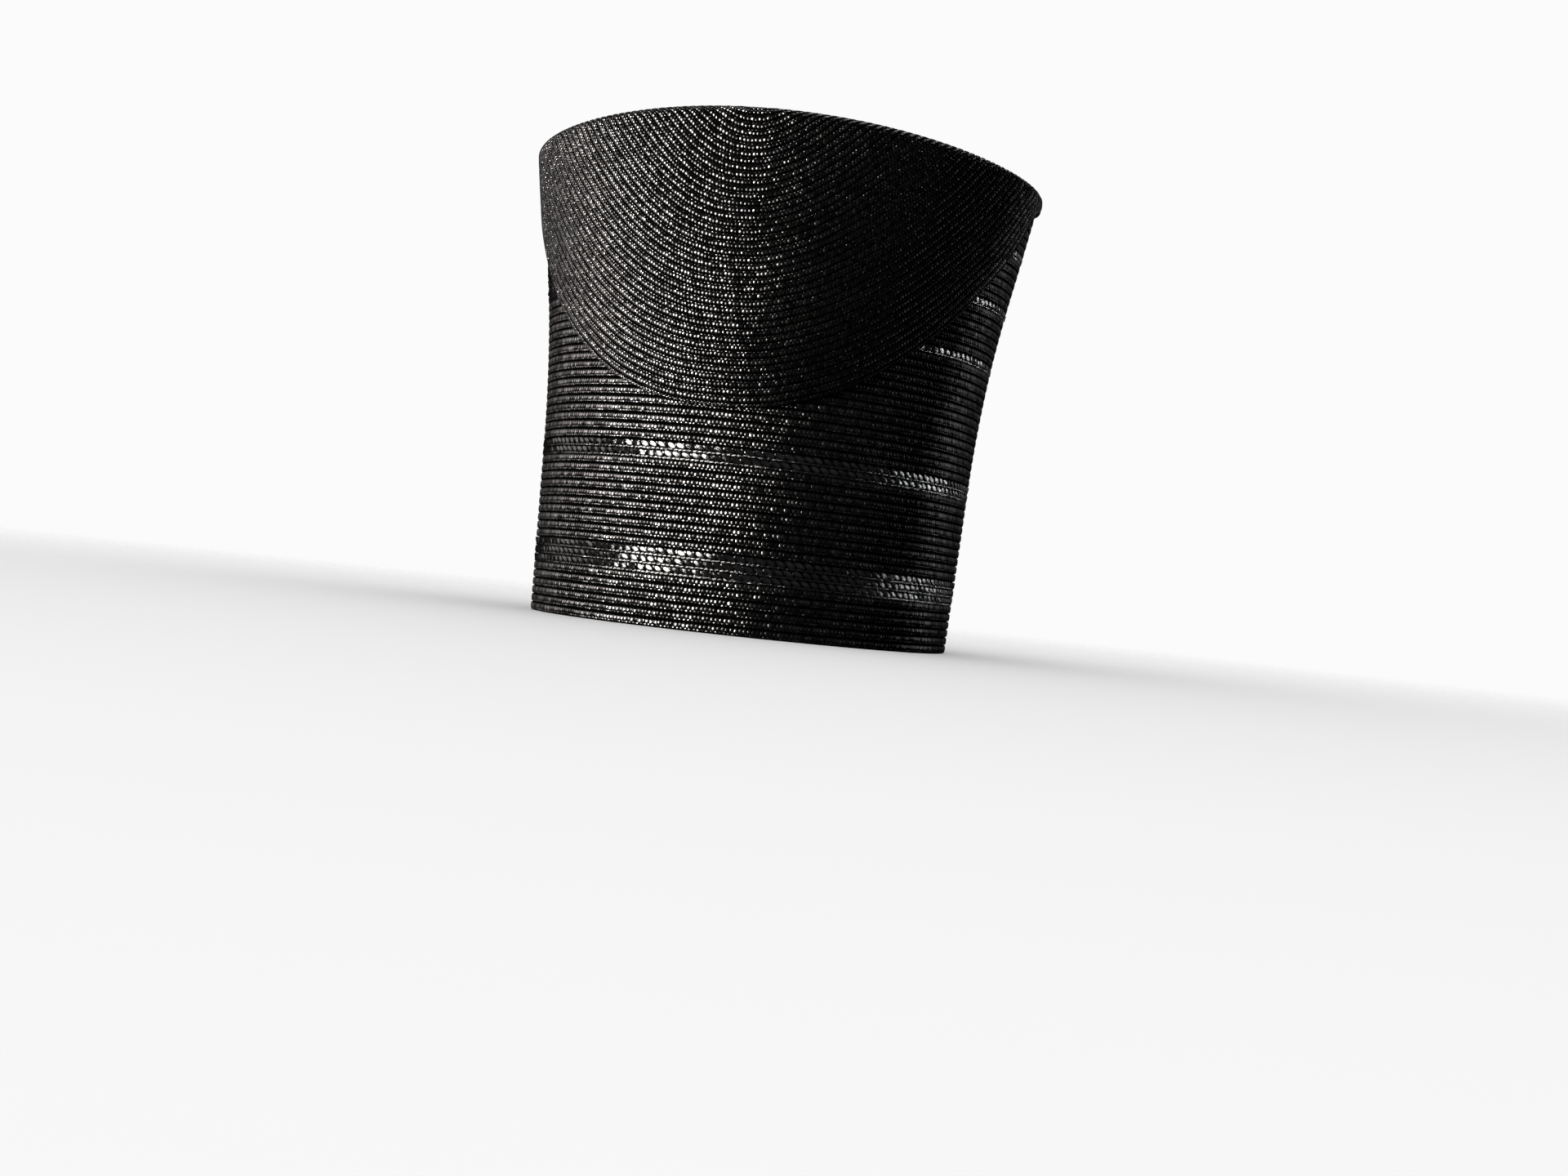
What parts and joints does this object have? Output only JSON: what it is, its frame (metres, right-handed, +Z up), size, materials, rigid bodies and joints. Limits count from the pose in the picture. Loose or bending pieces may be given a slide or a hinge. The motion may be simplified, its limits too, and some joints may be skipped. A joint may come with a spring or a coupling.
{
  "type": "toque",
  "caption": "Tall brimless toque sewn from rows of black braid: an oval tube flaring side to side, with a spiral-sewn disc over the top that hangs down the front.",
  "frame": {"origin": "centre of the rim oval, in the flat plane that the rim rests on", "axes": "+Z up through the top, -Y towards the front that the disc hangs down, +X towards the wearer's left side, along the long way of the top"},
  "size_m": [0.2156, 0.1958, 0.2057],
  "materials": {
    "braid": "black lustrous sewn braid",
    "disc_braid": "black lustrous fine sewn braid",
    "accent_plait": "black glossy flat plait"
  },
  "bodies": {
    "root": {"side_wall": "braid", "spiral_disc": "disc_braid", "accent_band_lower": "accent_plait", "accent_band_middle": "accent_plait", "accent_band_left": "accent_plait", "accent_row_right_low": "accent_plait", "accent_row_right_mid": "accent_plait", "accent_row_right_high": "accent_plait"}
  },
  "joints": []
}
